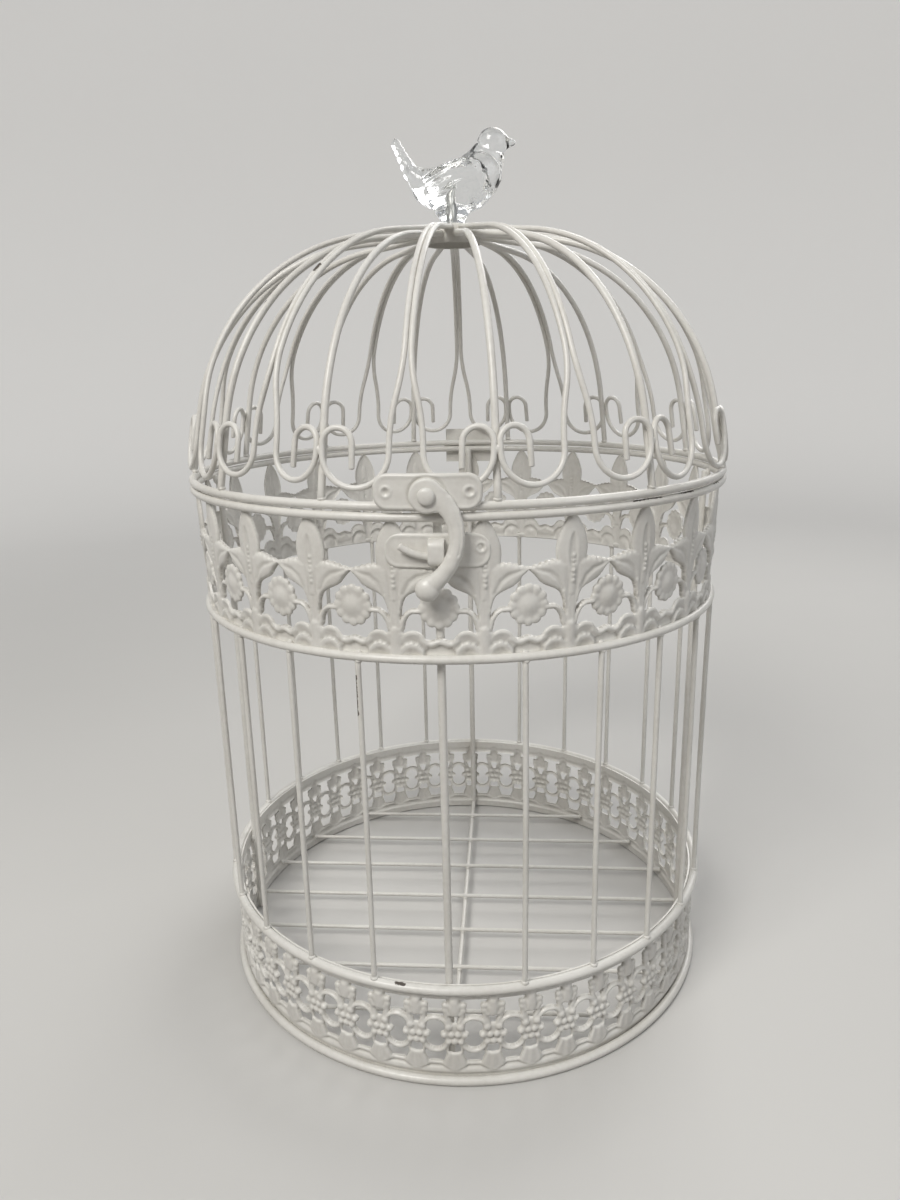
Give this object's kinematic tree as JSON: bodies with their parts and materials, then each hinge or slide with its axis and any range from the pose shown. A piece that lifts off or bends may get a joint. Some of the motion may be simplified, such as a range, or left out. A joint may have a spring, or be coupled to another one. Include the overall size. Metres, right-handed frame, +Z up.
{
  "type": "birdcage card box",
  "caption": "Round wire birdcage card holder with pierced lattice and leaf strips, a hinged scroll dome lid, a swing hook latch and a clear bird on top.",
  "frame": {"origin": "centre of the foot ring, on the surface it stands on", "axes": "+Z up, front with the latch at -Y, hinge at +Y"},
  "size_m": [0.2539, 0.2644, 0.4024],
  "materials": {
    "white_paint": "gloss",
    "acrylic": "clear",
    "screw_steel": "satin"
  },
  "bodies": {
    "cage": {"base_ring": "white_paint", "second_ring": "white_paint", "mid_ring": "white_paint", "rim_ring": "white_paint", "lattice_band": "white_paint", "gallery_band": "white_paint", "main_post_front": "white_paint", "main_post_right": "white_paint", "main_post_back": "white_paint", "main_post_left": "white_paint", "uprights_front_right": "white_paint", "uprights_back_right": "white_paint", "uprights_back_left": "white_paint", "uprights_front_left": "white_paint", "floor_wire_1": "white_paint", "floor_wire_2": "white_paint", "floor_wire_3": "white_paint", "floor_wire_4": "white_paint", "floor_wire_5": "white_paint", "floor_wire_6": "white_paint", "floor_wire_7": "white_paint", "floor_spine": "white_paint", "keeper_plate": "white_paint", "keeper_pin": "white_paint", "hinge_cage_leaf": "white_paint", "hinge_pin": "white_paint"},
    "lid": {"lid_ring": "white_paint", "single_rib_01": "white_paint", "single_rib_02": "white_paint", "single_rib_03": "white_paint", "single_rib_04": "white_paint", "single_rib_05": "white_paint", "single_rib_06": "white_paint", "single_rib_07": "white_paint", "single_rib_08": "white_paint", "single_rib_09": "white_paint", "single_rib_10": "white_paint", "single_rib_11": "white_paint", "single_rib_12": "white_paint", "scroll_ribs_01": "white_paint", "scroll_ribs_02": "white_paint", "scroll_ribs_03": "white_paint", "scroll_ribs_04": "white_paint", "scroll_ribs_05": "white_paint", "scroll_ribs_06": "white_paint", "scroll_ribs_07": "white_paint", "scroll_ribs_08": "white_paint", "scroll_ribs_09": "white_paint", "scroll_ribs_10": "white_paint", "scroll_ribs_11": "white_paint", "scroll_ribs_12": "white_paint", "crown_cap": "white_paint", "bird": "acrylic", "bird_screw": "screw_steel", "latch_plate": "white_paint", "pivot_rivet": "white_paint", "hinge_lid_leaf": "white_paint"},
    "hook": {"hook": "white_paint"}
  },
  "joints": [
    {"name": "lid_hinge", "type": "hinge", "parent": "cage", "child": "lid", "pos_m": [0, 0.1294, 0.2509], "axis": [-1, 0, 0], "range_deg": [0, 110]},
    {"name": "hook_pivot", "type": "hinge", "parent": "lid", "child": "hook", "pos_m": [-0.00283, -0.12962, 0.2572], "axis": [-0.0218, -0.9998, 0], "range_deg": [0, 95]}
  ]
}
